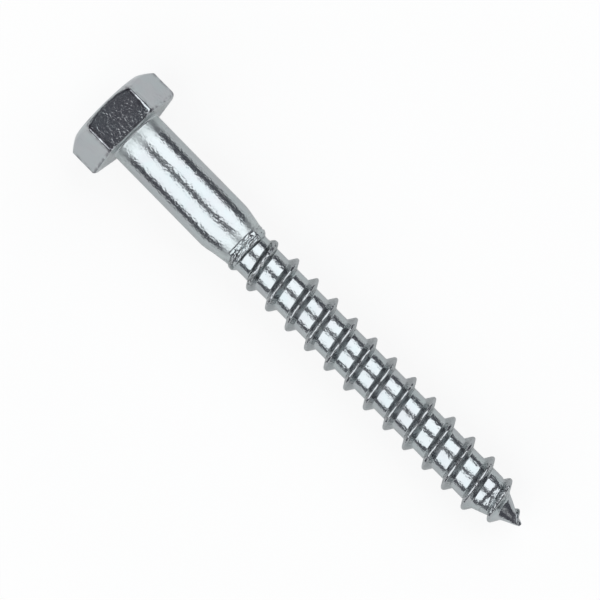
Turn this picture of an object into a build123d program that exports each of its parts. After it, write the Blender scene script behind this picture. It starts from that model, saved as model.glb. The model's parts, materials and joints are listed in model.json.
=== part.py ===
from build123d import *
from math import asin, atan2, ceil, cos, degrees, hypot, pi, radians, sin, tan
import os

# A coach screw: a hexagon head, a plain shank, and a coarse right-hand wood thread that
# runs out into a gimlet point. It is forged and rolled from one blank, so it is one solid.
# It lies as it comes to rest on a bench: on the lowest flat of its head and on the last
# full thread crest. "Along" is the distance from the bearing face towards the point.

# Head
across_flats = 12.9
head_height = 5.2
crown_diameter = 11.4  # the flat circle that the chamfer leaves on top
chamfer_angle = 35
corner_radius = 0.3  # the six upright edges
rim_radius = 0.45  # the edges round the bearing face
seat_bevel = 0.4  # the short slope between the bearing face and the shank

# Shank, and the neck where it runs down to the blank that the thread is rolled on
shank_diameter = 7.67
shank_length = 16.65
neck_length = 3.2
neck_diameter = 6.6
neck_blend = 5.0
collar_width = 0.95
collar_runout = 0.5

# Threaded stem
screw_length = 71.05  # bearing face to point
core_diameter = 5.65
point_angle = 23  # half of the core cone's angle
point_diameter = 0.4

# Thread ridge
thread_diameter = 7.72
thread_pitch = 3.6
flank_angle = 30
crest_width = 0.2
crest_rise = 4.6  # from the collar's end to the full thread diameter
crest_fall = 5.6  # from the full thread diameter to the point
ridge_lead_in = 0.75  # how far the ridge's start reaches back into the neck
ridge_stop = 0.45  # from the ridge's end to the point
root_share = 0.8  # the ridge's hidden root lies at this share of the core's radius
steps_per_turn = 14

shank_radius = shank_diameter / 2
neck_radius = neck_diameter / 2
core_radius = core_diameter / 2
point_radius = point_diameter / 2
crest_radius = thread_diameter / 2
crown_radius = crown_diameter / 2
neck_end = shank_length + neck_length
collar_end = neck_end + collar_width
core_start = collar_end + collar_runout
cone_start = screw_length - (core_radius - point_radius) / tan(radians(point_angle))


def core_radius_at(along):
    on_cone = point_radius + (screw_length - along) * tan(radians(point_angle))
    return min(core_radius, on_cone)


def crest_radius_at(along):
    rising = neck_radius + (along - collar_end) * (crest_radius - neck_radius) / crest_rise
    falling = point_radius + (screw_length - along) * (crest_radius - point_radius) / crest_fall
    return min(crest_radius, rising, falling)


# The ridge starts level with the axis, inside the neck, and crosses the screw's underside
# three quarters of a turn on, then once a turn.
underside_turn = 0.75
ridge_start = neck_end - ridge_lead_in
ridge_end = screw_length - ridge_stop
ridge_turns = (ridge_end - ridge_start) / thread_pitch
low_crests = [
    ridge_start + (turn + underside_turn) * thread_pitch for turn in range(int(ridge_turns))
]


# The floor line touches the rounded rim of the lowest flat and one crest, so the stem dips.
def dip_onto(crest_along):
    reach = crest_along + rim_radius
    rise = across_flats / 2 - rim_radius - crest_radius_at(crest_along)
    return atan2(rise, reach) + asin(rim_radius / hypot(reach, rise))


dip = min(dip_onto(crest_along) for crest_along in low_crests)
stem_direction = Vector(cos(dip), 0, -sin(dip))
stem = Plane(origin=(0, 0, 0), x_dir=(0, 1, 0), z_dir=stem_direction)
stem_axis = Axis((0, 0, 0), stem_direction)
side_view = Plane(origin=(0, 0, 0), x_dir=stem_direction, z_dir=(0, -1, 0))


# The ridge is a strip of constant flank angle wound round the core, made a turn at a time.
def ridge_point(turn, side, on_crest):
    along = ridge_start + turn * thread_pitch
    crest = crest_radius_at(along)
    radius = crest if on_crest else root_share * core_radius_at(along)
    half_width = crest_width / 2 + (crest - radius) * tan(radians(flank_angle))
    angle = 2 * pi * turn
    return (radius * cos(angle), radius * sin(angle), along + side * half_width)


def ridge_heading(turn, side, on_crest):
    nudge = 0.001
    before = ridge_point(turn - nudge, side, on_crest)
    after = ridge_point(turn + nudge, side, on_crest)
    return tuple(b - a for a, b in zip(before, after))


def ridge_edge(first, last, side, on_crest):
    turns = [first + (last - first) * step / steps_per_turn for step in range(steps_per_turn + 1)]
    with BuildLine(stem) as edge:
        Spline(
            *[ridge_point(turn, side, on_crest) for turn in turns],
            tangents=[ridge_heading(turn, side, on_crest) for turn in (first, last)],
            tangent_scalars=(1, 1),
        )
    return edge.edge()


def ridge_length(first, last):
    corners = [(-1, False), (-1, True), (1, True), (1, False)]
    edges = [ridge_edge(first, last, side, on_crest) for side, on_crest in corners]
    faces = [Face.make_surface_from_curves(edges[i - 1], edges[i]) for i in range(4)]
    faces += [Face(Wire.make_polygon([edge @ end for edge in edges])) for end in (0, 1)]
    return Solid(Shell(faces))


length_count = ceil(ridge_turns)
length_ends = [ridge_turns * i / length_count for i in range(length_count + 1)]
ridge = [ridge_length(first, last) for first, last in zip(length_ends, length_ends[1:])]

with BuildPart() as lag_screw:
    # Head: a hexagonal bar with a rounded bearing rim and rounded upright edges
    with BuildSketch(stem.offset(-head_height)):
        RegularPolygon(across_flats / 2, 6, major_radius=False)
    extrude(amount=head_height)
    bearing_face = lag_screw.faces().sort_by(stem_axis)[-1]
    fillet(bearing_face.edges(), rim_radius)
    fillet(lag_screw.edges().filter_by(stem_axis), corner_radius)

    # The crown's chamfer is a cone, so it leaves an arc on top of each flat
    with BuildSketch(side_view):
        Polygon(
            (0, 0),
            (-head_height, 0),
            (-head_height, crown_radius),
            (0, crown_radius + head_height / tan(radians(chamfer_angle))),
            align=None,
        )
    revolve(axis=stem_axis, mode=Mode.INTERSECT)

    # Shank, neck, collar, core and point are one turned shape
    seat_radius = shank_radius + seat_bevel
    with BuildSketch(side_view):
        with BuildLine():
            FilletPolyline(
                (0, seat_radius),
                (seat_bevel, shank_radius),
                (shank_length, shank_radius),
                (neck_end, neck_radius),
                (collar_end, neck_radius),
                (core_start, core_radius),
                (cone_start, core_radius),
                (screw_length, point_radius),
                (screw_length, 0),
                radius=[0, neck_blend, 0, 0, 0, 0, 0],
            )
            Polyline((screw_length, 0), (0, 0), (0, seat_radius))
        make_face()
    revolve(axis=stem_axis)

    add(ridge)

lag_screw.part.label = "lag_screw"
os.makedirs("parts", exist_ok=True)
export_step(lag_screw.part, "parts/lag_screw.step")
print("dip in degrees", round(degrees(dip), 3), "faces", len(lag_screw.faces()))
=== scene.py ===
import json
import math
import bpy
import numpy as np
from mathutils import Matrix, Vector


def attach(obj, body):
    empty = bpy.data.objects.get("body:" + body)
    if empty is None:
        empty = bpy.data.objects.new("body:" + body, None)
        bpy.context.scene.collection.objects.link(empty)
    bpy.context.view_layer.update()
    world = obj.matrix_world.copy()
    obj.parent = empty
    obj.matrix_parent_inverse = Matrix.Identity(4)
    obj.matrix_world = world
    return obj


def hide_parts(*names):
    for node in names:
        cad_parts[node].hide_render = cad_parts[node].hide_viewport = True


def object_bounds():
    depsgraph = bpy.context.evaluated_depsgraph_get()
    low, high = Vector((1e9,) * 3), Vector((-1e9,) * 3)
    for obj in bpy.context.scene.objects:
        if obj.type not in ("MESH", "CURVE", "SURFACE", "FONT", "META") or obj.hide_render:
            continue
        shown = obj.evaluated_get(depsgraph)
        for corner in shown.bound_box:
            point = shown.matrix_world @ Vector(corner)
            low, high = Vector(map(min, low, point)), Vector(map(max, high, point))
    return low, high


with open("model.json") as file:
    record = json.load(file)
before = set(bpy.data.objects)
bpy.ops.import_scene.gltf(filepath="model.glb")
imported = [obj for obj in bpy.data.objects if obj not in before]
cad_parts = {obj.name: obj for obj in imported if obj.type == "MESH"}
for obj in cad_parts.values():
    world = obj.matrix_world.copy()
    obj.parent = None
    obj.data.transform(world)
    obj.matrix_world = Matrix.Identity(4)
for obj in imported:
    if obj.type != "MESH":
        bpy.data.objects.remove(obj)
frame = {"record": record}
cadLow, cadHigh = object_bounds()
print("frame loaded, box", [round(v * 1000, 2) for v in (*cadLow, *cadHigh)], "mm")

# the screw's own axes: along the stem from the bearing face, across it and up from it
mounts = {m["name"]: m for m in frame["record"]["mounts"]}
stemStart = Vector(mounts["under_head"]["pos_m"])
alongStem = Vector(mounts["shank"]["axis"]).normalized()
acrossStem = Vector((0, 1, 0))
aboveStem = alongStem.cross(acrossStem).normalized()
mm = 0.001

# all lengths are in mm, and distances along the stem run from the bearing face
head = {
    "acrossFlats": 12.9,
    "height": 5.2,
    "crownRadius": 5.7,
    "chamferAngle": 35,
    "crownRounding": 0.35,
    "chamferRounding": 0.1,
    "chamferBulge": 0.09,
    "uprightRounding": 0.3,
    "uprightSharp": 0.16,  # at the crown
    "uprightWorn": 0.36,  # and what wear adds at the bearing end of one edge
    "uprightLimits": (0.1, 0.6),
    "wornEdge": math.radians(60),
    "wornFrom": (-2.6, -1.4),
    "rimRadius": 6.78,  # the underside's corners are rounded off outside this
    "rimRadiusBack": 6.94,  # and outside this on the -Y side
    "rimSharp": 0.12,
    "seatRounding": 0.4,
    "shankRadius": 3.835,
    "dentShare": 1.2,  # how far above the dents' own mean the surface stays whole
}
headRows = {
    "firstRing": 0.4,  # radius of the ring round the crown's middle
    "arcSteps": (5, 5, 8, 7),
    "between": (6, 5, 26, 6, 74),
    "neckFrom": 4,  # the neck's own outline is used from here on
}
thread = {
    "pitch": 3.6,
    "start": 18.45,  # the helical rows take over here
    "firstCrest": 19.2,  # where the ridge's crest line would first pass the +Y side
    "flankSlope": math.tan(math.radians(30)),
    "crestRadius": 3.86,
    "rootRounding": 0.16,
    "end": 71.025,
}
collar = {
    "from": 19.75, "fadeIn": 0.6, "fadeOut": (-0.1, 0.2),
    "end": 21.03, "endBack": 0.6, "drop": 0.55,
    "ringLength": 0.5, "ringHeight": 0.06, "ringSink": 0.4,
}
# how each surface wavers: at most so many waves round the stem, and so many radians a mm along it
wavers = {
    "collarEdge": {"height": 0.07, "turns": 7, "waves": 0, "seed": 21},
    "collarRings": {"height": 1.3, "turns": 9, "waves": 2, "seed": 31},  # the rings' phase, in radians
    "shank": {"height": 0.006, "turns": 3, "waves": 0.6, "seed": 41},
    "core": {"height": 0.014, "turns": 4, "waves": 1.3, "seed": 51},
    "crest": {"height": 0.02, "turns": 6, "waves": 1.6, "seed": 61},
    "uprights": {"height": 0.15, "turns": 6, "waves": 7, "seed": 71},
    "dents": {"height": 0.012, "turns": 9, "waves": 2.2, "seed": 81},
}
waverCount = 9
shankEnd = 20  # the shank's waver stops here, on the collar
coreFrom, coreTo = (21.5, 24), (66, 70)  # and the core's fades in and out over these
columns = 144
hair = 0.001  # less than this apart counts as touching


# point = start + along * stem + (radius * cos(angle) + sway) * across + radius * sin(angle) * above
def placed(angle, radius, along, sway):
    side = radius * np.cos(angle) + sway
    up = radius * np.sin(angle)
    axes = np.array([alongStem, acrossStem, aboveStem])
    local = np.stack([along, side, up], axis=-1) * mm
    return np.array(stemStart) + local @ axes


# height times a sum of waves cos(n * angle + k * along + phase) over random whole n and random k
def waver(name, angle, along):
    shape = wavers[name]
    dice = np.random.default_rng(shape["seed"])
    total = 0.0
    for _ in range(waverCount):
        n = dice.integers(0, shape["turns"] + 1)
        k = dice.uniform(-shape["waves"], shape["waves"])
        total = total + np.cos(n * angle + k * along + dice.uniform(0, 2 * math.pi))
    return shape["height"] * total / math.sqrt(2 * waverCount)


# the broken line through the points, averaged over a sliding window, as a function of the distance along
def smoothTable(points, blur):
    step = 0.02
    reach = 3 * blur  # the window is cut off here
    grid = np.arange(points[0][0] - reach, points[-1][0] + reach, step)
    line = np.interp(grid, [p[0] for p in points], [p[1] for p in points])
    offsets = np.arange(-reach, reach + step, step)
    window = np.exp(-0.5 * (offsets / blur) ** 2)
    padded = np.pad(line, len(offsets) // 2, mode="edge")
    soft = np.convolve(padded, window / window.sum(), mode="valid")
    return lambda along: np.interp(along, grid, soft[: len(grid)])


# the larger of a and b, with the crossing rounded over the given width
def softMax(a, b, width):
    blend = np.clip(0.5 + 0.5 * (a - b) / width, 0, 1)
    return b + (a - b) * blend + width * blend * (1 - blend)


def softMin(a, b, width):
    return -softMax(-a, -b, width)


# 0 below low, 1 above high, and t * t * (3 - 2 * t) between them
def smoothStep(value, low, high):
    t = np.clip((value - low) / (high - low), 0, 1)
    return t * t * (3 - 2 * t)


# distance from the axis to a hexagon with rounded corners: apothem / cos(turn) on a flat, where turn is
# measured from the flat's middle, and the ray's far crossing of the corner's circle beyond the flat
def hexRadius(angle, rounding):
    apothem = head["acrossFlats"] / 2
    turn = np.abs(angle % (math.pi / 3) - math.pi / 6)
    flat = apothem / np.cos(turn)
    centre = (apothem - rounding) / math.cos(math.pi / 6)
    aside = math.pi / 6 - turn
    inside = np.maximum(rounding**2 - (centre * np.sin(aside)) ** 2, 0)
    arc = centre * np.cos(aside) + np.sqrt(inside)
    flatEnd = np.arctan((apothem - rounding) * math.tan(math.pi / 6) / apothem)
    return np.where(turn > flatEnd, arc, flat)


# the arc that touches both legs of a corner, from the leg before to the leg after
def cornerArc(before, corner, after, radius, steps):
    u = before - corner
    v = after - corner
    u = u / np.linalg.norm(u, axis=0)
    v = v / np.linalg.norm(v, axis=0)
    half = 0.5 * np.arccos(np.clip((u * v).sum(0), -1, 1))
    middle = corner + (u + v) / np.linalg.norm(u + v, axis=0) * radius / np.sin(half)
    first = corner + u * radius / np.tan(half) - middle
    last = corner + v * radius / np.tan(half) - middle
    swing = math.pi - 2 * half
    t = np.linspace(0, 1, steps + 1)[:, None, None]
    return middle + (first * np.sin((1 - t) * swing) + last * np.sin(t * swing)) / np.sin(swing)


# columns crowd at the six upright edges of the head and are even on the stem
evenTurns = np.arange(columns) * 2 * math.pi / columns
fromCorner = np.radians([0, 0.35, 0.7, 1.05, 1.4, 1.9, 2.5, 6, 11, 16, 21, 25.5])
oneSide = np.concatenate([fromCorner, [math.pi / 6], math.pi / 3 - fromCorner[:0:-1]])
crowdedTurns = (np.arange(6)[:, None] * math.pi / 3 + oneSide[None, :]).ravel()


# a broken line from the crown's middle to the stem, one for each column, with its corners rounded
def headAndShank():
    edge = hexRadius(crowdedTurns, head["uprightRounding"])
    slope = math.tan(math.radians(head["chamferAngle"]))
    level = np.ones(columns)
    top = -head["height"] * level
    shank = head["shankRadius"]
    corners = [
        np.array([0.0 * level, top]),
        np.array([head["crownRadius"] * level, top]),
        np.array([edge, top + (edge - head["crownRadius"]) * slope]),
        np.array([edge, 0 * level]),
        np.array([shank * level, 0 * level]),
        np.array([shank * level, thread["start"] * level]),
    ]
    toBack = 0.5 - 0.5 * np.cos(crowdedTurns)
    rimRadius = head["rimRadius"] + (head["rimRadiusBack"] - head["rimRadius"]) * toBack
    rim = np.maximum(edge - rimRadius, head["rimSharp"])
    rounding = [head["crownRounding"], head["chamferRounding"], rim, head["seatRounding"]]
    arcs = [
        cornerArc(corners[i], corners[i + 1], corners[i + 2], rounding[i], steps)
        for i, steps in enumerate(headRows["arcSteps"])
    ]
    firstRing = corners[0][None] * [[[0], [1]]] + [[[headRows["firstRing"]], [0]]]
    ends = [firstRing, *arcs, corners[5][None]]
    rows = [ends[0]]
    for before, after, count in zip(ends, ends[1:], headRows["between"]):
        t = np.linspace(0, 1, count + 2)[1:-1, None, None]
        between = before[-1] * (1 - t) + after[0] * t
        if before is arcs[0]:
            # the chamfer is slightly domed, most at the corners
            dome = (edge - head["crownRadius"]) * np.sin(math.pi * t[:, :, 0])
            between[:, 0] += head["chamferBulge"] * dome
        rows += [between, after]
    rows = np.concatenate(rows)
    radius, along = rows[:, 0], rows[:, 1]
    # the columns even out over the bearing face, inside the rim and outside the seat
    inward = np.clip((edge - rim - radius) / (edge - shank - 1), 0, 1)
    share = np.where(along > -hair, inward, 0)
    angle = crowdedTurns * (1 - share) + evenTurns * share
    return angle, radius, along


# outlines of the stem and of the ridge's crest, as distance along and radius
neckAcross = smoothTable(  # on the +Y side
    [(10, 3.835), (16.55, 3.835), (17.35, 3.775), (18.05, 3.65), (19.75, 3.34), (24, 3.33)], 0.12)
neckBack = smoothTable(  # and on the -Y side
    [(10, 3.835), (16.25, 3.835), (17.05, 3.73), (17.9, 3.52), (20.15, 3.17), (24, 3.14)], 0.12)
coreLine = smoothTable(
    [(16, 2.86), (21.9, 2.85), (24, 2.825), (65.05, 2.825), (66.85, 2.14), (68.25, 1.53), (69.25, 1.0),
     (69.95, 0.7), (70.65, 0.42), (71.05, 0.2), (74, 0.2)], 0.06)
crestLine = smoothTable(
    [(16, 2.6), (19.1, 2.8), (20.0, 3.02), (20.45, 3.2), (20.9, 3.38), (21.8, 3.4), (22.7, 3.46), (24.5, 3.7),
     (26.3, 3.865), (64.7, 3.865), (65.9, 3.52), (67.8, 2.56), (69.45, 1.5), (70.0, 1.02), (70.75, 0.4),
     (71.05, 0.2), (74, 0.2)], 0.15)
crestHalfWidth = smoothTable(
    [(16, 0.3), (20, 0.3), (22.6, 0.32), (24.4, 0.2), (27, 0.155), (64, 0.155), (67, 0.2), (68, 0.12),
     (70, 0.05)], 0.3)
crestRounding = smoothTable([(16, 0.3), (22, 0.4), (24.4, 0.25), (27, 0.2), (66, 0.2), (71, 0.05)], 0.4)
swayLine = smoothTable(  # the stem's slow bend sideways
    [(0, 0), (20, 0), (45, 0.1), (64, 0.13), (69, 0.14), (70.25, 0.18), (71.1, 0.28)], 0.5)


# the +Y and -Y outlines of the neck, mixed by cos(angle), down to an uneven collar and then the core
def coreRadius(angle, along):
    toBack = 0.5 - 0.5 * np.cos(angle)
    neck = neckAcross(along) * (1 - toBack) + neckBack(along) * toBack
    edge = collar["end"] + collar["endBack"] * toBack**2 + waver("collarEdge", angle, 0 * along)
    onCollar = smoothStep(along, collar["from"], collar["from"] + collar["fadeIn"])
    onCollar = onCollar * smoothStep(edge - along, *collar["fadeOut"])
    phase = 2 * math.pi * (along - edge) / collar["ringLength"] + waver("collarRings", angle, along)
    neck = neck + collar["ringHeight"] * (np.cos(phase) - collar["ringSink"]) * onCollar
    drop = smoothStep(along, edge - collar["drop"] / 2, edge + collar["drop"] / 2)
    plain = waver("shank", angle, along) * (along < shankEnd)
    rolled = waver("core", angle, along) * smoothStep(along, *coreFrom) * (1 - smoothStep(along, *coreTo))
    return neck * (1 - drop) + coreLine(along) * drop + plain + rolled


# the larger of the core and the ridge, which falls from its crest by distance / flank slope
def stemRadius(angle, along, fromCrest):
    core = coreRadius(angle, along)
    crest = crestLine(along - fromCrest) + waver("crest", angle, along)
    off = np.abs(fromCrest) - crestHalfWidth(along)
    flank = crest - off / thread["flankSlope"]
    ridge = softMin(crest, flank, crestRounding(along))
    return softMax(ridge, core, thread["rootRounding"]), core, crest


# rows of the threaded part follow the helix: one step round the stem moves a row one step along
stepAlong = thread["pitch"] / columns
crestSteps = [0, 2, 4, 6, 9, 13, 17, 21, 24, 27, 30, 33, 37, 42, 48, 55, 63]
rowSteps = np.array(crestSteps + [columns // 2] + [columns - s for s in crestSteps[:0:-1]])
collarRows = np.arange(-124, 93, 4)  # closer rows where the collar is
thinning = [(48, 1), (49.6, 2), (51, 4)]  # up to so far along, every so many columns are kept
lastThinning = 8


# grid over turn and row: along = first crest + pitch * (whole turns + turn) + row step, held to both ends
def threadedStem():
    first = round((thread["start"] - thread["firstCrest"]) / stepAlong)
    last = round((thread["end"] - thread["firstCrest"]) / stepAlong)
    wholeTurns = np.arange(-2, last // columns + 2)
    offsets = (wholeTurns[:, None] * columns + rowSteps[None, :]).ravel()
    offsets = offsets[(offsets < collarRows[0] - 1) | (offsets > collarRows[-1] + 1)]
    offsets = np.sort(np.concatenate([offsets, collarRows]))
    turnSteps = np.arange(columns + 1)
    reached = [offsets < first + length / stepAlong for length, _ in thinning]
    stride = np.select(reached, [kept for _, kept in thinning], lastThinning)
    kept = turnSteps[None, :] // stride[:, None] * stride[:, None]
    steps = np.clip(offsets[:, None] + kept, first, last)
    column = kept % columns
    key = (steps - first) * columns + column
    _, place, index = np.unique(key.ravel(), return_index=True, return_inverse=True)
    index = index.reshape(key.shape)
    quads = np.stack([index[:-1, :-1], index[:-1, 1:], index[1:, 1:], index[1:, :-1]], axis=-1)
    steps, column = steps.ravel()[place], column.ravel()[place]
    turnCount = (steps - column) / columns
    return {
        "angle": column * 2 * math.pi / columns,
        "along": thread["firstCrest"] + steps * stepAlong,
        "fromCrest": (turnCount - np.round(turnCount)) * thread["pitch"],
        "winding": np.round(turnCount) + column / columns,
        "faces": quads.reshape(-1, 4),
        "startRing": np.flatnonzero(steps == first),
        "endRing": np.flatnonzero(steps == last),
    }


# upright edges: sharp at the crown, worn at the bearing end of one edge, and a little uneven and dented
def wornHead(angle, radius, along):
    onHead = (along < -hair) & (radius > head["crownRadius"])
    atEdge = (0.5 + 0.5 * np.cos(angle - head["wornEdge"])) ** 4
    atBearing = smoothStep(along, *head["wornFrom"])
    rounding = head["uprightSharp"] + head["uprightWorn"] * atEdge * atBearing
    rounding = np.clip(rounding + waver("uprights", angle, along), *head["uprightLimits"])
    worn = hexRadius(angle, rounding) / hexRadius(angle, head["uprightRounding"])
    radius = np.where(onHead, radius * np.minimum(worn, 1.0), radius)
    dented = waver("dents", angle, along) - wavers["dents"]["height"] * head["dentShare"]
    return radius + np.minimum(dented * onHead, 0)


# a four-cornered face that has lost a corner is a triangle, and one that has lost two is gone
def splitFaces(quads, fans):
    same = quads == np.roll(quads, -1, axis=1)
    lost = same.sum(axis=1)
    whole = quads[lost == 0]
    part = quads[lost == 1]
    part = part[~same[lost == 1]].reshape(-1, 3)
    triangles = np.concatenate([*fans, part])
    distinct = (triangles != np.roll(triangles, -1, axis=1)).all(axis=1)
    return whole, triangles[distinct]


def fillMesh(name, points, whole, triangles):
    mesh = bpy.data.meshes.new(name)
    mesh.vertices.add(len(points))
    mesh.vertices.foreach_set("co", points.astype(np.float32).ravel())
    loops = np.concatenate([whole.ravel(), triangles.ravel()])
    starts = np.concatenate([np.arange(len(whole)) * 4, len(whole) * 4 + np.arange(len(triangles)) * 3])
    mesh.loops.add(len(loops))
    mesh.loops.foreach_set("vertex_index", loops.astype(np.int32))
    mesh.polygons.add(len(starts))
    mesh.polygons.foreach_set("loop_start", starts.astype(np.int32))
    mesh.polygons.foreach_set("use_smooth", np.ones(len(starts), bool))
    return mesh


maskReach = {
    "flatRise": 0.5,  # the flats' mask is full so far outside the crown
    "flatAlong": (-4.8, -0.1),
    "crown": 0.8,  # share of the mask that the crown has
    "crownDepth": (0.1, 0.02),
    "edgeTurn": (math.radians(1.6), math.radians(4)),
    "leastRidge": 0.05,
}


# masks for the finish: the head's flats and crown, its upright edges, and the ridge
def addMasks(mesh, angle, radius, along, stem, stemMask):
    beyondCrown = radius - head["crownRadius"]
    low, high = maskReach["flatAlong"]
    flats = np.clip(beyondCrown / maskReach["flatRise"], 0, 1) * (along < high) * (along > low)
    depths = [head["height"] - depth for depth in maskReach["crownDepth"]]
    flats = flats + maskReach["crown"] * smoothStep(-along, *depths)
    aside = np.abs((angle + math.pi / 6) % (math.pi / 3) - math.pi / 6)
    edges = (1 - smoothStep(aside, *maskReach["edgeTurn"])) * (along < high) * (beyondCrown > 0)
    none = 0 * stem["along"]
    masks = {
        "flatMask": np.concatenate([[maskReach["crown"]], flats.ravel(), none, [0]]),
        "edgeMask": np.concatenate([[0], edges.ravel(), none, [0]]),
        "ridgeMask": np.concatenate([[0], 0 * flats.ravel(), stemMask, [0]]),
    }
    for name, values in masks.items():
        mesh.attributes.new(name, "FLOAT", "POINT").data.foreach_set("value", values.astype(np.float32))


# the way that the ridge runs: across it, and round the stem with a step from each turn to the next
def addFlow(mesh, stem, firstPoint):
    reach = thread["crestRadius"]
    angle = stem["angle"]
    along = reach * np.sin(angle) + thread["pitch"] * stem["winding"]
    flow = np.zeros((len(mesh.vertices), 3), np.float32)
    flow[firstPoint:-1] = np.stack([stem["fromCrest"], reach * np.cos(angle), along], axis=-1)
    mesh.attributes.new("ridgeFlow", "FLOAT_VECTOR", "POINT").data.foreach_set("vector", flow.ravel())


# one closed surface: crown, head, shank, thread and point
def screwMesh():
    angle, radius, along = headAndShank()
    # the neck's own outline takes over along the shank, where both are still the plain shank
    radius = np.where(along > headRows["neckFrom"], coreRadius(angle, along), radius)
    radius = wornHead(angle, radius, along)
    # the last of these rings is the helix grid's first ring
    angle, radius, along = angle[:-1], radius[:-1], along[:-1]
    stem = threadedStem()
    stemReach, core, crest = stemRadius(stem["angle"], stem["along"], stem["fromCrest"])
    zero, end = np.zeros(1), np.array([thread["end"]])
    points = np.concatenate([
        placed(zero, zero, np.array([-head["height"]]), zero),
        placed(angle, radius, along, swayLine(along)).reshape(-1, 3),
        placed(stem["angle"], stemReach, stem["along"], swayLine(stem["along"])),
        placed(zero, zero, end, swayLine(end)),
    ])
    stemFirst = 1 + angle.size
    grid = 1 + np.arange(angle.size).reshape(angle.shape)
    startColumn = np.round(stem["angle"][stem["startRing"]] / (2 * math.pi / columns)).astype(int) % columns
    startRing = np.empty(columns, int)
    startRing[startColumn] = stem["startRing"] + stemFirst
    grid = np.vstack([grid, startRing])
    after = np.roll(grid, -1, axis=1)
    quads = np.stack([grid[:-1], after[:-1], after[1:], grid[1:]], axis=-1).reshape(-1, 4)
    top = np.stack([np.zeros(columns, int), after[0], grid[0]], axis=-1)
    endRing = stem["endRing"][np.argsort(stem["angle"][stem["endRing"]])] + stemFirst
    tip = np.stack([endRing, np.roll(endRing, -1), np.full(len(endRing), len(points) - 1)], axis=-1)
    whole, triangles = splitFaces(np.concatenate([quads, stem["faces"] + stemFirst]), [top, tip])
    mesh = fillMesh("hexLagScrew", points, whole, triangles)
    stemMask = np.clip((stemReach - core) / np.maximum(crest - core, maskReach["leastRidge"]), 0, 1)
    addMasks(mesh, angle, radius, along, stem, stemMask)
    addFlow(mesh, stem, stemFirst)
    mesh.update(calc_edges=True)
    mesh.validate()
    print("screw mesh:", len(points), "points,", len(whole) * 2 + len(triangles), "triangles")
    return mesh


screw = bpy.data.objects.new("hexLagScrew", screwMesh())
bpy.context.scene.collection.objects.link(screw)


# a socket that takes part in sums: each operator adds one Math node
class Wire:
    def __init__(self, graph, socket):
        self.graph = graph
        self.socket = socket

    def maths(self, operation, first, second=0.0):
        made = self.graph.node("ShaderNodeMath", {"operation": operation}, {0: first, 1: second})
        return Wire(self.graph, made.outputs[0])

    def __add__(self, other):
        return self.maths("ADD", self, other)

    def __radd__(self, other):
        return self.maths("ADD", other, self)

    def __sub__(self, other):
        return self.maths("SUBTRACT", self, other)

    def __rsub__(self, other):
        return self.maths("SUBTRACT", other, self)

    def __mul__(self, other):
        return self.maths("MULTIPLY", self, other)

    def __rmul__(self, other):
        return self.maths("MULTIPLY", other, self)


# a material's or the world's node tree
class Graph:
    def __init__(self, owner):
        owner.use_nodes = True
        self.tree = owner.node_tree
        self.tree.nodes.clear()

    def node(self, kind, settings, values):
        made = self.tree.nodes.new(kind)
        for name, value in settings.items():
            setattr(made, name, value)
        for name, value in values.items():
            if isinstance(value, Wire):
                self.tree.links.new(value.socket, made.inputs[name])
            else:
                made.inputs[name].default_value = value
        return made

    def wire(self, kind, settings, values, output=0):
        return Wire(self, self.node(kind, settings, values).outputs[output])

    def mask(self, name):
        return self.wire("ShaderNodeAttribute", {"attribute_name": name}, {}, "Fac")

    def scaled(self, where, scale):
        return self.wire("ShaderNodeMapping", {}, {"Vector": where, "Scale": scale})

    def noise(self, where, scale, detail=2.0, distortion=0.0):
        values = {"Vector": where, "Scale": scale, "Detail": detail, "Distortion": distortion}
        return self.wire("ShaderNodeTexNoise", {}, {**values, "Roughness": 0.5})

    # from 0 to 1 as the value goes from low to high, with soft ends
    def span(self, value, low, high):
        values = {"Value": value, "From Min": low, "From Max": high}
        return self.wire("ShaderNodeMapRange", {"clamp": True, "interpolation_type": "SMOOTHSTEP"}, values)

    def blend(self, share, first, second):
        return self.wire("ShaderNodeMix", {"data_type": "RGBA"}, {0: share, 6: first, 7: second}, 2)


# a start value and the sum of each mask times its own share
def weighed(start, shares, masks):
    total = start
    for name, share in shares.items():
        total = total + share * masks[name]
    return total


zinc = {
    "colour": (0.455, 0.482, 0.492, 1),
    "violet": (0.425, 0.420, 0.445, 1),
    "teal": (0.400, 0.478, 0.486, 1),
    "ridge": (0.380, 0.392, 0.402, 1),
    "milky": (0.53, 0.57, 0.57, 1),
    "dull": (0.17, 0.17, 0.185, 1),
    # noise scales are per metre, apart from the streaks' one, which is per mm
    "cloudScale": 260, "mottleScale": 900, "tealScale": 420, "blotchScale": 1500,
    "grainScale": 2700, "waveScale": 1000, "wormScale": 2800, "streakScale": 2.5,
    "wormDistortion": 0.6, "streakStretch": (1, 0.35, 0.35), "waveStretch": (0.6, 1, 1),
    # from where to where the noises go over from none to full
    "cloudSpan": (0.42, 0.66), "wormSpan": (0.36, 0.66),
    "patchSpan": (0.35, 0.65), "blotchSpan": (0.42, 0.56),
    # heights are in mm
    "grainHeight": 0.045, "waveHeight": 0.014, "wormHeight": 0.008, "streakHeight": 0.17,
    "roughness": 0.185,
}
# where each zone fades in and out, in mm along the stem from the bearing face
zones = {
    "underHead": ((0.1, 0.4), (0.4, 3.6)),
    "rim": ((-0.55, -0.2), (-0.08, -0.02)),
    "neckEnd": ((17.2, 19.4), (19.5, 20.1)),
    "onCollar": ((19.5, 20.0), (21.2, 21.5)),
    "cutPoint": ((65.5, 66.2), (67.0, 67.6)),
    "firstTurnOut": (24.2, 25.4),
    "bearingIn": (-1.9, -0.9),
    "wavering": 2.5,  # how far the milky zones' ends waver
}
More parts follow.
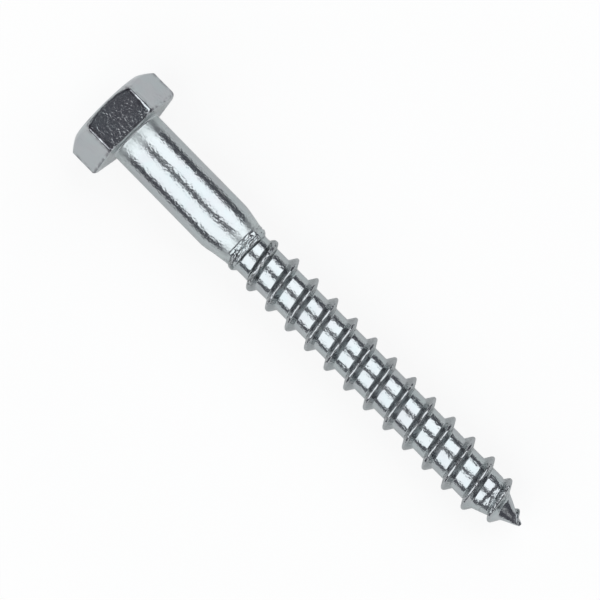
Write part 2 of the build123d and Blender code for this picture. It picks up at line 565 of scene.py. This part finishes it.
# what each mask adds to the roughness, and to the share of each height and each tint
shares = {
    "roughness": {"mottle": 0.05, "underHead": 0.2, "neckEnd": 0.15, "onCollar": -0.04, "firstTurn": 0.05,
                  "cutPoint": 0.06, "flats": -0.055, "ridge": -0.02},
    "grain": {"flats": -0.75, "underHead": 0.5, "neckEnd": 0.3},
    "wave": {"flats": -0.95},
    "worm": {"patch": 0.8, "bearingEnd": 0.5},
    "wormLeast": 0.3,
    "streak": {"ridge": 1.0, "firstTurn": 1.8, "onCollar": 2.3, "cutPoint": 0.9},
    "violet": {"cloud": 0.35, "flats": 0.3},
    "teal": {"tipFlank": 0.6},
    "tealLeast": 0.25,
    "ridge": {"ridge": 0.8},
    "milky": {"underHead": 0.9, "neckEnd": 0.8},
    "dull": {"edges": 0.85, "rim": 0.75},
}


# the zones and the masks of the mesh, each from 0 to 1
def zincMasks(graph, along, cloud, mottle, towardsTip):
    flats, ridge = graph.mask("flatMask"), graph.mask("ridgeMask")
    wavering = along + zones["wavering"] * (mottle - 0.5)

    def zone(name, fadeIn=along, fadeOut=along):
        return graph.span(fadeIn, *zones[name][0]) * (1 - graph.span(fadeOut, *zones[name][1]))

    return {
        "flats": flats,
        "ridge": ridge,
        "edges": graph.mask("edgeMask"),
        "mottle": mottle,
        "cloud": graph.span(cloud, *zinc["cloudSpan"]),
        "patch": graph.span(cloud, *zinc["patchSpan"]),
        "underHead": zone("underHead", fadeOut=wavering),
        "rim": zone("rim"),
        "neckEnd": zone("neckEnd", fadeIn=wavering),
        "onCollar": zone("onCollar"),
        "cutPoint": zone("cutPoint"),
        "firstTurn": ridge * (1 - graph.span(along, *zones["firstTurnOut"])),
        "bearingEnd": flats * graph.span(along, *zones["bearingIn"]),
        "tipFlank": ridge * graph.span(towardsTip, 0, 0.3),
    }


def zincColour(graph, where, masks):
    teal = graph.span(graph.noise(where, zinc["tealScale"]), *zinc["cloudSpan"])
    blotch = graph.span(graph.noise(where, zinc["blotchScale"]), *zinc["blotchSpan"])
    colour = graph.blend(weighed(0, shares["violet"], masks), zinc["colour"], zinc["violet"])
    colour = graph.blend(teal * weighed(shares["tealLeast"], shares["teal"], masks), colour, zinc["teal"])
    colour = graph.blend(weighed(0, shares["ridge"], masks), colour, zinc["ridge"])
    colour = graph.blend(weighed(0, shares["milky"], masks), colour, zinc["milky"])
    return graph.blend(blotch * weighed(0, shares["dull"], masks), colour, zinc["dull"])


def zincHeight(graph, where, flow, masks):
    grain = graph.noise(where, zinc["grainScale"], 1)
    wave = graph.noise(graph.scaled(where, zinc["waveStretch"]), zinc["waveScale"], 1)
    worm = graph.span(graph.noise(where, zinc["wormScale"], 1, zinc["wormDistortion"]), *zinc["wormSpan"])
    streak = graph.noise(graph.scaled(flow, zinc["streakStretch"]), zinc["streakScale"], 1)
    wormShare = masks["flats"] * weighed(shares["wormLeast"], shares["worm"], masks)
    height = grain * zinc["grainHeight"] * weighed(1, shares["grain"], masks)
    height = height + wave * zinc["waveHeight"] * weighed(1, shares["wave"], masks)
    height = height + worm * zinc["wormHeight"] * wormShare
    return height + streak * zinc["streakHeight"] * weighed(0, shares["streak"], masks)


def zincFinish():
    material = bpy.data.materials.new("zincPlating")
    graph = Graph(material)
    # Object coordinates, turned so that X runs along the stem
    dip = math.atan2(-alongStem.z, alongStem.x)
    seen = graph.wire("ShaderNodeTexCoord", {}, {}, "Object")
    where = graph.wire("ShaderNodeMapping", {}, {"Vector": seen, "Rotation": (0, -dip, 0)})
    along = graph.wire("ShaderNodeSeparateXYZ", {}, {"Vector": where}, "X") * (1 / mm)
    flow = graph.wire("ShaderNodeAttribute", {"attribute_name": "ridgeFlow"}, {}, "Vector")
    towardsTip = graph.wire("ShaderNodeSeparateXYZ", {}, {"Vector": flow}, "X")
    cloud = graph.noise(where, zinc["cloudScale"], 3)
    mottle = graph.noise(where, zinc["mottleScale"])
    masks = zincMasks(graph, along, cloud, mottle, towardsTip)
    height = zincHeight(graph, where, flow, masks)
    shader = graph.node("ShaderNodeBsdfPrincipled", {}, {
        "Base Color": zincColour(graph, where, masks),
        "Metallic": 1.0,
        "Roughness": weighed(zinc["roughness"], shares["roughness"], masks),
        "Normal": graph.wire("ShaderNodeBump", {}, {"Strength": 1.0, "Distance": mm, "Height": height}),
    })
    graph.node("ShaderNodeOutputMaterial", {}, {"Surface": Wire(graph, shader.outputs[0])})
    return material


screw.data.materials.append(zincFinish())
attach(screw, "root")
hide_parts("lag_screw")
print("screw finished")

middle = (cadLow + cadHigh) / 2
plainWhite = (1, 1, 1, 1)


# 1 for rays from the camera, and for mirrored and refracted ones, so that metal shows the same backdrop
def seenMask(graph):
    path = graph.node("ShaderNodeLightPath", {}, {})
    seen = Wire(graph, path.outputs["Is Camera Ray"]) + Wire(graph, path.outputs["Is Glossy Ray"])
    return graph.wire("ShaderNodeMath", {"operation": "ADD", "use_clamp": True},
                      {0: seen, 1: Wire(graph, path.outputs["Is Transmission Ray"])})


# a surface of revolution about the upright through the middle: (r * cos(a), r * sin(a), z), with its
# last ring closed to a point at the given height
def roundSheet(name, radii, heights, poleHeight, turns=64):
    rings = len(radii)
    a, r = np.meshgrid(np.arange(turns) * 2 * math.pi / turns, radii)
    z = np.repeat(np.array(heights)[:, None], turns, axis=1)
    ring = np.stack([r * np.cos(a) + middle.x, r * np.sin(a), z], axis=-1).reshape(-1, 3)
    index = np.arange(rings * turns).reshape(rings, turns)
    after = np.roll(index, -1, axis=1)
    quads = np.stack([index[:-1], index[1:], after[1:], after[:-1]], axis=-1).reshape(-1, 4).tolist()
    points = ring.tolist()
    fan = []
    if poleHeight is not None:
        points.append((middle.x, 0, poleHeight))
        fan = np.stack([index[-1], np.full(turns, rings * turns), after[-1]], axis=-1).tolist()
    mesh = bpy.data.meshes.new(name)
    mesh.from_pydata(points, [], quads + fan)
    made = bpy.data.objects.new(name, mesh)
    bpy.context.scene.collection.objects.link(made)
    return made


paper = {
    "colour": (0.93, 0.93, 0.93, 1),
    "radius": 2.0,
    "innerRadius": 0.01,
    "rings": 24,
    "whiteShare": 0.87,  # for camera rays, near the screw
    "fadeFrom": 0.035,
    "fadeTo": 0.09,
}


# pale paper that keeps the shadow and goes over into plain white away from the screw
def paperFinish():
    material = bpy.data.materials.new("palePaper")
    graph = Graph(material)
    seen = graph.wire("ShaderNodeTexCoord", {}, {}, "Object")
    fromMiddle = graph.wire("ShaderNodeVectorMath", {"operation": "SUBTRACT"}, {0: seen, 1: tuple(middle)})
    away = graph.wire("ShaderNodeVectorMath", {"operation": "LENGTH"}, {0: fromMiddle}, "Value")
    fade = graph.span(away, paper["fadeFrom"], paper["fadeTo"])
    path = graph.node("ShaderNodeLightPath", {}, {})
    nearWhite = paper["whiteShare"] * Wire(graph, path.outputs["Is Camera Ray"])
    share = seenMask(graph) * fade + nearWhite * (1 - fade)
    matte = graph.node("ShaderNodeBsdfDiffuse", {}, {"Color": paper["colour"]})
    white = graph.node("ShaderNodeEmission", {}, {"Color": plainWhite, "Strength": 1.0})
    mixed = graph.node("ShaderNodeMixShader", {}, {
        0: share, 1: Wire(graph, matte.outputs[0]), 2: Wire(graph, white.outputs[0])})
    graph.node("ShaderNodeOutputMaterial", {}, {"Surface": Wire(graph, mixed.outputs[0])})
    return material


floorRadii = np.geomspace(paper["radius"], paper["innerRadius"], paper["rings"])
floor = roundSheet("floor", floorRadii, [cadLow.z] * paper["rings"], cadLow.z)
floor.data.materials.append(paperFinish())

lampPair = {
    "distance": 0.4,
    "reach": 33,  # half the angle that each lamp spans along the stem
    "colour": (0.965, 0.99, 1.0),
    "left": {"from": 12.8, "to": 64.5, "radiance": 1.92},  # angles from straight above, across the stem
    "right": {"from": 9.5, "to": 70, "radiance": 1.85},
}


# a rectangular lamp between two angles from straight above, across the stem, turned towards the screw
def softbox(name, low, high, radiance):
    centre, half = math.radians((low + high) / 2), math.radians(abs(high - low) / 2)
    lamp = bpy.data.lights.new(name, "AREA")
    lamp.shape = "RECTANGLE"
    lamp.size = 2 * lampPair["distance"] * math.tan(half)
    lamp.size_y = 2 * lampPair["distance"] * math.tan(math.radians(lampPair["reach"]))
    lamp.energy = radiance * math.pi * lamp.size * lamp.size_y
    lamp.color = lampPair["colour"]
    away = acrossStem * math.sin(centre) + aboveStem * math.cos(centre)
    turn = Matrix((alongStem.cross(away), alongStem, away)).transposed()
    made = bpy.data.objects.new(name, lamp)
    made.matrix_world = Matrix.Translation(middle + away * lampPair["distance"]) @ turn.to_4x4()
    made.visible_camera = False
    bpy.context.scene.collection.objects.link(made)


softbox("softboxLeft", lampPair["left"]["from"], lampPair["left"]["to"], lampPair["left"]["radiance"])
softbox("softboxRight", -lampPair["right"]["from"], -lampPair["right"]["to"], lampPair["right"]["radiance"])

room = {
    "radius": 1.3,
    "rings": 16,
    "cardDistance": 0.062,
    "cardHeight": 0.02,
    "dark": (0.096, 0.096, 0.114, 1),
    "litHead": (0.65, 0.65, 0.65, 1),
    "litTip": (1.1, 1.1, 1.1, 1),
    "litFrom": 0.77,  # share of the radius along the stem, where the room's ends begin to be lit
    "litTo": 0.86,
}


# the dim room that only mirrored rays meet, with lit ends along the stem
def roomFinish(name, lit):
    material = bpy.data.materials.new(name)
    graph = Graph(material)
    colour = room["dark"]
    if lit:
        seen = graph.wire("ShaderNodeTexCoord", {}, {}, "Object")
        x = graph.wire("ShaderNodeSeparateXYZ", {}, {"Vector": seen}, "X") * (1 / room["radius"])
        x = x - middle.x / room["radius"]
        colour = graph.blend(graph.span(x, room["litFrom"], room["litTo"]), room["dark"], room["litTip"])
        colour = graph.blend(graph.span(0 - x, room["litFrom"], room["litTo"]), colour, room["litHead"])
    glow = graph.node("ShaderNodeEmission", {}, {"Color": colour, "Strength": 1.0})
    graph.node("ShaderNodeOutputMaterial", {}, {"Surface": Wire(graph, glow.outputs[0])})
    return material


def mirroredOnly(made, material):
    made.data.materials.append(material)
    for rays in ("camera", "diffuse", "transmission", "shadow", "volume_scatter"):
        setattr(made, "visible_" + rays, False)


rise = np.linspace(0, math.pi / 2, room["rings"] + 1)[:-1]
dome = roundSheet("dimRoom", room["radius"] * np.cos(rise), cadLow.z + room["radius"] * np.sin(rise),
                  cadLow.z + room["radius"])
mirroredOnly(dome, roomFinish("dimRoom", True))
cards = roundSheet("dimCards", [room["cardDistance"]] * 2, [cadLow.z, cadLow.z + room["cardHeight"]], None)
mirroredOnly(cards, roomFinish("dimCards", False))

# white for what is seen or mirrored, and a low even light for the rest
skyFill = 0.1
world = bpy.data.worlds.new("studio")
bpy.context.scene.world = world
sky = Graph(world)
lowLight = sky.node("ShaderNodeBackground", {}, {"Color": plainWhite, "Strength": skyFill})
seenSky = sky.node("ShaderNodeBackground", {}, {"Color": plainWhite, "Strength": 1.0})
skyMix = sky.node("ShaderNodeMixShader", {}, {
    0: seenMask(sky), 1: Wire(sky, lowLight.outputs[0]), 2: Wire(sky, seenSky.outputs[0])})
sky.node("ShaderNodeOutputWorld", {}, {"Surface": Wire(sky, skyMix.outputs[0])})

shot = {
    "distance": 0.727,
    "overStem": 0.06985,  # the camera stands over this point of the stem
    "widthSeen": 0.07753,
    "turn": 45.52,  # the stem's slope in the picture
    "aimAlong": 0.03031,
    "aimAcross": 0.00029,
    "sensorWidth": 36,
    "clip": (0.01, 20),
}


def camera():
    data = bpy.data.cameras.new("camera")
    data.sensor_width = shot["sensorWidth"]
    data.lens = data.sensor_width * shot["distance"] / shot["widthSeen"]
    data.clip_start, data.clip_end = shot["clip"]
    made = bpy.data.objects.new("camera", data)
    eye = stemStart + alongStem * shot["overStem"] + aboveStem * shot["distance"]
    aim = stemStart + alongStem * shot["aimAlong"] + acrossStem * shot["aimAcross"]
    back = (eye - aim).normalized()
    turn = math.radians(shot["turn"])
    right = alongStem * math.cos(turn) + acrossStem * math.sin(turn)
    right = (right - back * right.dot(back)).normalized()
    up = back.cross(right)
    made.matrix_world = Matrix.Translation(eye) @ Matrix((right, up, back)).transposed().to_4x4()
    bpy.context.scene.collection.objects.link(made)
    bpy.context.scene.camera = made


camera()
bpy.context.scene.view_settings.view_transform = "Standard"
print("studio ready")
